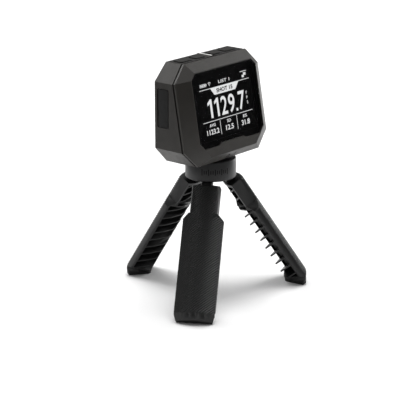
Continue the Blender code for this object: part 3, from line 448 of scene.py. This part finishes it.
def display_piece(name, mesh, material, shift=(0.0, 0.0)):
    """Turns artwork drawn in the display's frame into a piece on the display unit."""
    bmesh.ops.remove_doubles(mesh, verts=mesh.verts, dist=1e-5)
    bmesh.ops.recalc_face_normals(mesh, faces=mesh.faces)
    data = mesh_data(name, mesh)
    data.transform(display_matrix() @ Matrix.Translation((*shift, 0.0)))
    return new_piece(name, data, material, "display_unit")


# Display artwork. Boxes are (u0, v0, u1, v1) on the face of the glass

BIG_DIGITS = (
    ("1", -18.4, -14.4),
    ("1", -12.2, -8.4),
    ("2", -6.4, -0.7),
    ("9", 0.5, 6.3),
    ("7", 10.0, 16.0),
)
DIGIT_BOTTOM = -3.7
DIGIT_TOP = 7.4
RULE = 0.34


def one_outline(u0, v0, u1, v1):
    """A tall condensed figure one, which the built-in font draws too wide."""
    stem = 0.46 * (u1 - u0)
    flag = 0.17 * (v1 - v0)
    foot = u1 - stem
    return [
        (foot, v0),
        (u1, v0),
        (u1, v1),
        (foot + 0.25 * stem, v1),
        (u0, v1 - flag),
        (u0, v1 - 1.9 * flag),
        (foot, v1 - 1.3 * flag),
    ]


def make_artwork(materials):
    make_status_bar(materials)
    mesh = bmesh.new()
    for text, u0, u1 in BIG_DIGITS:
        if text == "1":
            plate(mesh, one_outline(u0, DIGIT_BOTTOM, u1, DIGIT_TOP), ART_W, ART_THICKNESS)
        else:
            label(mesh, text, u0, DIGIT_BOTTOM, u1, DIGIT_TOP, 0.012)
    plate(mesh, box_outline(7.2, DIGIT_BOTTOM, 8.8, DIGIT_BOTTOM + 1.6), ART_W, ART_THICKNESS)
    for text, v in (("F", 4.6), ("P", 1.7), ("S", -1.2)):
        label(mesh, text, 17.7, v, 18.8, v + 1.8, 0.01)
    display_piece("display_speed", mesh, materials["art"], ART_SHIFT)

    mesh = bmesh.new()
    plate(mesh, bar(-24.3, -5.5, 21.8, -5.5, RULE), ART_W, ART_THICKNESS)
    for u in (-9.1, 6.4):
        plate(mesh, bar(u, -6.2, u, -14.5, RULE), ART_W, ART_THICKNESS)
    columns = (
        ("AVG", (-19.0, -13.5), "1123.2", (-22.0, -10.9)),
        ("SD", (-2.8, 0.8), "12.5", (-4.5, 2.7)),
        ("ES", (12.4, 16.0), "31.8", (10.3, 18.0)),
    )
    for title, (a, b), value, (c, d) in columns:
        label(mesh, title, a, -8.7, b, -6.9, 0.015)
        label(mesh, value, c, -13.2, d, -10.1, 0.02)
    display_piece("display_statistics", mesh, materials["art"], ART_SHIFT)


def make_status_bar(materials):
    """The line of icons, the list's name, and the banner with the shot's number."""
    mesh = bmesh.new()
    plate(mesh, bar(-24.0, 13.6, 22.1, 13.6, RULE), ART_W, ART_THICKNESS)
    banner = [(-14.1, 13.5), (-10.9, 9.25), (8.5, 9.25), (12.2, 13.5)]
    plate(mesh, banner, ART_W, ART_THICKNESS)
    outer, inner = box_outline(-23.0, 15.3, -17.4, 17.1), box_outline(-22.7, 15.6, -17.7, 16.8)
    ring_plate(mesh, outer, inner, ART_W, ART_THICKNESS)
    plate(mesh, box_outline(-17.3, 15.8, -16.9, 16.6), ART_W, ART_THICKNESS)
    for i in range(3):
        u = -22.4 + 1.55 * i
        plate(mesh, box_outline(u, 15.85, u + 1.25, 16.55), ART_W, ART_THICKNESS)
    plate(mesh, box_outline(-14.6, 15.2, -14.1, 15.7), ART_W, ART_THICKNESS)
    for radius in (1.0, 1.8):
        arc_band(mesh, (-14.35, 15.4), radius, 0.35, 45, 135, ART_W, ART_THICKNESS, 6)
    label(mesh, "LIST 1", -6.0, 15.3, 4.2, 17.2, 0.01)
    plate(mesh, bar(14.6, 18.5, 20.5, 18.5, RULE), ART_W, ART_THICKNESS)
    plate(mesh, [(16.0, 14.9), (17.9, 14.9), (17.9, 16.4), (16.0, 16.4)], ART_W, ART_THICKNESS)
    plate(mesh, [(18.0, 16.0), (19.8, 16.0), (19.8, 17.6), (17.2, 17.6)], ART_W, ART_THICKNESS)
    display_piece("display_status_bar", mesh, materials["art"], ART_SHIFT)

    mesh = bmesh.new()
    label(mesh, "SHOT 15", -8.8, 10.2, 6.1, 12.7, 0.035, ART_W + 2 * ART_THICKNESS, ART_THICKNESS)
    display_piece("display_shot_number", mesh, materials["mark"], ART_SHIFT)


def face_outline(side, top, bottom, top_corner, bottom_corner, rise=0.0):
    """The lens's outline in u and v, with the raised stretch in its bottom edge."""
    return [
        (side, bottom + bottom_corner),
        (side, top - top_corner),
        (side - top_corner, top),
        (top_corner - side, top),
        (-side, top - top_corner),
        (-side, bottom + bottom_corner),
        (bottom_corner - side, bottom),
        (-LENS_NOTCH_FOOT, bottom),
        (-LENS_NOTCH_TOP, bottom + rise),
        (LENS_NOTCH_TOP, bottom + rise),
        (LENS_NOTCH_FOOT, bottom),
        (side - bottom_corner, bottom),
    ]


def make_lens_print(materials):
    """The black border printed on the back of the lens."""
    mesh = bmesh.new()
    outer = face_outline(29.5, 24.0, -20.4, 3.5, 4.0, 1.3)
    inner = face_outline(26.4, 20.6, -17.0, 1.0, 1.0)
    ring_plate(mesh, outer, inner, LENS_BACK - 0.06, 0.04)
    display_piece("lens_border_print", mesh, materials["border"])


# Legs


def leg_frame(letter):
    """A function from (t, depth, s) in millimetres to the row's frame in millimetres, for a spread leg."""
    joint = JOINTS[f"leg_{letter}_fold"]
    across = Vector(joint["axis"])
    lean = math.radians(joint["range_deg"][1])
    outward = Vector((across.y, -across.x, 0.0))
    down_leg = outward * math.sin(lean) - UP * math.cos(lean)
    inward = -(outward * math.cos(lean) + UP * math.sin(lean))
    top = TRIPOD_AXIS + outward * SKIN_TOP_REACH + UP * SKIN_TOP_HEIGHT

    def point(t, depth, s):
        return top + across * t + inward * depth + down_leg * s

    return point


def groove_mesh(point):
    """Many slanting V-shaped cutters that follow the round skin."""
    mesh = bmesh.new()
    widest = math.asin(GROOVE_HALF_SPAN / LEG_ARC)
    flare = (GROOVE_DEPTH + CUTTER_RISE) / GROOVE_DEPTH
    half = GROOVE_WIDTH / 2 * flare
    step_s = GROOVE_PITCH / math.cos(GROOVE_ANGLE)
    slope = math.tan(GROOVE_ANGLE)
    first = -GROOVE_OVERRUN_TOP - LEG_ARC * widest * slope
    last = LEG_LENGTH + GROOVE_OVERRUN_FOOT + LEG_ARC * widest * slope
    count = int((last - first) / step_s)
    for k in range(count):
        middle_s = first + k * step_s
        rings = []
        for i in range(CUTTER_STEPS + 1):
            angle = -widest + 2 * widest * i / CUTTER_STEPS
            s = middle_s - LEG_ARC * angle * slope
            ring = []
            for side, lift in ((0, -GROOVE_DEPTH), (1, CUTTER_RISE), (-1, CUTTER_RISE)):
                turn = angle + side * half * math.sin(GROOVE_ANGLE) / LEG_ARC
                along = s + side * half * math.cos(GROOVE_ANGLE)
                radius = LEG_ARC + lift
                ring.append(point(radius * math.sin(turn), LEG_ARC - radius * math.cos(turn), along))
            rings.append([mesh.verts.new(p * MM) for p in ring])
        for low, high in zip(rings, rings[1:]):
            for i in range(3):
                j = (i + 1) % 3
                mesh.faces.new((low[i], low[j], high[j], high[i]))
        mesh.faces.new(list(reversed(rings[0])))
        mesh.faces.new(rings[-1])
    bmesh.ops.recalc_face_normals(mesh, faces=mesh.faces)
    return mesh_data("grooves", mesh)


def make_legs(materials):
    """Each leg with fine slanting grooves cut into its outer skin."""
    source = NODES["leg_a"]
    blank = add_object("leg_blank", source.data.copy())
    smooth(blank)
    soften(blank, 0.22, 1)
    tool = add_object("groove_tool", groove_mesh(leg_frame("a")))
    cut = blank.modifiers.new("grooves", "BOOLEAN")
    cut.operation = "DIFFERENCE"
    cut.solver = "EXACT"
    cut.object = tool
    grooved = applied(blank)
    bpy.data.objects.remove(blank)
    bpy.data.objects.remove(tool)
    grooved.shade_smooth()
    grooved.set_sharp_from_angle(angle=math.radians(20))
    first = Vector(JOINTS["leg_a_fold"]["axis"])
    for letter in LEG_NAMES:
        axis = Vector(JOINTS[f"leg_{letter}_fold"]["axis"])
        turn = math.atan2(axis.y, axis.x) - math.atan2(first.y, first.x)
        data = grooved.copy()
        about = Matrix.Translation(TRIPOD_AXIS * MM)
        data.transform(about @ Matrix.Rotation(turn, 4, "Z") @ about.inverted())
        leg = new_piece(f"grooved_leg_{letter}", data, materials["leg"], f"fold_leg_{letter}")
        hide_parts(f"leg_{letter}")


# Collar marks


def make_collar_scale(materials):
    """A row of pan-angle ticks on the collar's front, dark and almost flush."""
    low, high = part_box("pan_collar")
    radius = (high.x - low.x) / 2 / MM
    middle = (low.z + high.z) / 2 / MM
    mesh = bmesh.new()
    for i in range(-TICKS_EACH_WAY, TICKS_EACH_WAY + 1):
        angle = TICKS_FACING + TICK_SPACING * i
        half_height = LONG_TICK_HALF_HEIGHT if i % 3 == 0 else TICK_HALF_HEIGHT
        out = Vector((math.cos(angle), math.sin(angle), 0.0))
        side = Vector((-out.y, out.x, 0.0))
        corners = []
        for depth in (radius - MARK_SINK, radius + TICK_RISE):
            for a, b in ((-1, -1), (1, -1), (1, 1), (-1, 1)):
                place = TRIPOD_AXIS + out * depth + side * a * TICK_HALF_WIDTH
                place += UP * (middle + b * half_height)
                corners.append(mesh.verts.new(place * MM))
        faces = ((0, 3, 2, 1), (4, 5, 6, 7), (0, 1, 5, 4), (1, 2, 6, 5), (2, 3, 7, 6), (3, 0, 4, 7))
        for face in faces:
            mesh.faces.new([corners[k] for k in face])
    bmesh.ops.recalc_face_normals(mesh, faces=mesh.faces)
    data = mesh_data("collar_scale", mesh)
    new_piece("collar_scale", data, materials["mark"], "pan_head")


# Emblem


def bezel_face():
    """The middle and the outward normal of the bezel's largest face that looks forwards and down."""
    best, point, normal = 0.0, None, None
    for face in NODES["display_bezel"].data.polygons:
        n = face.normal
        if abs(n.x) < 0.05 and n.y < -0.3 and n.z < -0.15 and face.area > best:
            best, point, normal = face.area, face.center.copy(), n.copy()
    return point, normal


def make_emblem(materials):
    """A dot with waves on both sides, almost flush with the bezel's lower slope."""
    point, out = bezel_face()
    across = Vector((1.0, 0.0, 0.0))
    up = out.cross(across)
    low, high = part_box("display_bezel")
    middle = Vector(((low.x + high.x) / 2, point.y, point.z))
    thickness = MARK_SINK + ART_THICKNESS
    mesh = bmesh.new()
    turns = [math.pi * i / 8 for i in range(16)]
    dot = [(EMBLEM_DOT * math.cos(turn), EMBLEM_DOT * math.sin(turn)) for turn in turns]
    plate(mesh, dot, -MARK_SINK, thickness)
    for radius in EMBLEM_WAVES:
        for facing in (0, 180):
            start, end = facing - EMBLEM_SPREAD, facing + EMBLEM_SPREAD
            arc_band(mesh, (0.0, 0.0), radius, EMBLEM_LINE, start, end, -MARK_SINK, thickness, 8)
    bmesh.ops.recalc_face_normals(mesh, faces=mesh.faces)
    data = mesh_data("bezel_emblem", mesh)
    turn = Matrix((across, up, out)).transposed().to_4x4()
    data.transform(Matrix.Translation(middle) @ turn @ Matrix.Scale(MM, 4))
    new_piece("bezel_emblem", data, materials["mark"], "display_unit")


# CAD pieces that keep their shape

CAD_LOOKS = {  # node: (material, edge radius in millimetres)
    "display_bezel": ("head", 0.32),
    "radar_housing": ("head", 0.3),
    "radome_cover": ("head", 0.3),
    "seam_gasket": ("rubber", 0.0),
    "display_lens": ("glass", 0.06),
    "lcd_panel": ("lcd", 0.0),
    "display_carrier": ("inner", 0.0),
    "keypad_left": ("keypad", 0.15),
    "keypad_right": ("keypad", 0.15),
    "power_key": ("keypad", 0.18),
    "back_key": ("keypad", 0.18),
    "select_key": ("keypad", 0.18),
    "scroll_key": ("keypad", 0.18),
    "sight_line": ("white", 0.1),
    "usb_port_cover": ("door", 0.15),
    "port_cover_pin": ("steel", 0.0),
    "usb_c_port": ("steel", 0.05),
    "port_board": ("board", 0.0),
    "main_board": ("board", 0.0),
    "keypad_board": ("board", 0.0),
    "radar_board": ("board", 0.0),
    "battery": ("foil", 0.4),
    "tripod_insert": ("brass", 0.05),
    "mounting_stud": ("steel", 0.1),
    "top_pad": ("rubber", 0.2),
    "pan_collar": ("collar", 0.12),
    "friction_washer": ("nylon", 0.05),
    "retaining_nut": ("steel", 0.2),
    "tripod_hub": ("hub", 0.2),
}
for number in (1, 2, 3, 4):
    CAD_LOOKS[f"housing_screw_{number}"] = ("steel", 0.05)
    CAD_LOOKS[f"tact_switch_{number}"] = ("inner", 0.05)
for letter in LEG_NAMES:
    CAD_LOOKS[f"leg_hinge_pin_{letter}"] = ("steel", 0.1)
    CAD_LOOKS[f"foot_pad_{letter}"] = ("leg", 0.15)
    CAD_LOOKS[f"leg_{letter}"] = ("leg", 0.0)


def dress_cad(materials):
    for name, (look, radius) in CAD_LOOKS.items():
        item = NODES[name]
        finish(item, materials[look])
        if radius:
            smooth(item)
            soften(item, radius)


# Stage


def make_stage():
    """A pale round table top. Beyond it the surroundings that light the object are dark."""
    mesh = bmesh.new()
    towards, _ = camera_axes()
    middle = TRIPOD_AXIS * MM - towards * FLOOR_SHIFT
    rim = []
    for i in range(96):
        turn = 2 * math.pi * i / 96
        rim.append(mesh.verts.new(middle + FLOOR_RADIUS * Vector((math.cos(turn), math.sin(turn), 0.0))))
    mesh.faces.new(rim)
    data = mesh_data("floor", mesh)
    floor = add_object("floor", data)
    made, _, _ = new_material("pale_floor", (0.94, 0.94, 0.94), 0.9)
    data.materials.append(made)


def area_light(name, place, target, size, power):
    data = bpy.data.lights.new(name, "AREA")
    data.shape = "RECTANGLE"
    data.size, data.size_y = size
    data.energy = power
    light = add_object(name, data)
    light.location = place
    light.rotation_euler = (Vector(target) - Vector(place)).to_track_quat("-Z", "Y").to_euler()


def camera_axes():
    """Unit vectors from the aim towards the camera, and to the camera's right, both level."""
    towards = Vector((math.sin(AZIMUTH), -math.cos(AZIMUTH), 0.0))
    right = Vector((math.cos(AZIMUTH), math.sin(AZIMUTH), 0.0))
    return towards, right


def make_lights():
    towards, right = camera_axes()
    middle = TRIPOD_AXIS * MM + UP * 0.07
    boxes = (  # name, metres to the right, away from the camera and up, size, watts
        ("top_box", 0.2, 0.2, 2.4, (1.5, 1.5), 40.0),
        ("left_box", -0.6, 0.55, 0.75, (0.5, 0.5), 4.0),
        ("back_right_box", 0.8, 0.75, 0.3, (0.5, 0.9), 6.0),
    )
    for name, aside, away, above, size, power in boxes:
        area_light(name, middle + right * aside - towards * away + UP * above, middle, size, power)


def make_world():
    """White to the eye; as a light, much brighter overhead than at the sides."""
    world = bpy.data.worlds.new("studio")
    bpy.context.scene.world = world
    world.use_nodes = True
    tree = world.node_tree
    tree.nodes.clear()
    place = tree.nodes.new("ShaderNodeTexCoord")
    split = tree.nodes.new("ShaderNodeSeparateXYZ")
    tree.links.new(place.outputs["Generated"], split.inputs["Vector"])
    ramp = tree.nodes.new("ShaderNodeValToRGB")
    ramp.color_ramp.elements[0].position = 0.0
    ramp.color_ramp.elements[0].color = (0.07, 0.07, 0.07, 1)
    ramp.color_ramp.elements[1].position = 1.0
    ramp.color_ramp.elements[1].color = (1.0, 1.0, 1.0, 1)
    tree.links.new(split.outputs["Z"], ramp.inputs["Fac"])
    seen = tree.nodes.new("ShaderNodeBackground")
    seen.inputs["Color"].default_value = (1.0, 1.0, 1.0, 1)
    lit = tree.nodes.new("ShaderNodeBackground")
    lit.inputs["Strength"].default_value = 0.62
    tree.links.new(ramp.outputs["Color"], lit.inputs["Color"])
    path = tree.nodes.new("ShaderNodeLightPath")
    mix = tree.nodes.new("ShaderNodeMixShader")
    tree.links.new(path.outputs["Is Camera Ray"], mix.inputs["Fac"])
    tree.links.new(lit.outputs["Background"], mix.inputs[1])
    tree.links.new(seen.outputs["Background"], mix.inputs[2])
    out = tree.nodes.new("ShaderNodeOutputWorld")
    tree.links.new(mix.outputs["Shader"], out.inputs["Surface"])


def make_camera():
    towards, right = camera_axes()
    aim = TRIPOD_AXIS + UP * AIM_HEIGHT + right * AIM_SHIFT
    back = towards * math.cos(ELEVATION) + UP * math.sin(ELEVATION)
    data = bpy.data.cameras.new("camera")
    data.lens = FOCAL_LENGTH
    data.sensor_width = 36.0
    data.clip_start = 0.05
    data.clip_end = 50.0
    camera = add_object("camera", data)
    camera.location = aim * MM + back * DISTANCE
    camera.rotation_euler = (-back).to_track_quat("-Z", "Y").to_euler()
    bpy.context.scene.camera = camera


def main():
    bpy.context.scene.view_settings.view_transform = "Standard"
    make_camera()
    materials = make_materials()
    dress_cad(materials)
    make_lens_print(materials)
    make_artwork(materials)
    make_legs(materials)
    make_collar_scale(materials)
    make_emblem(materials)
    make_stage()
    make_world()
    make_lights()


main()
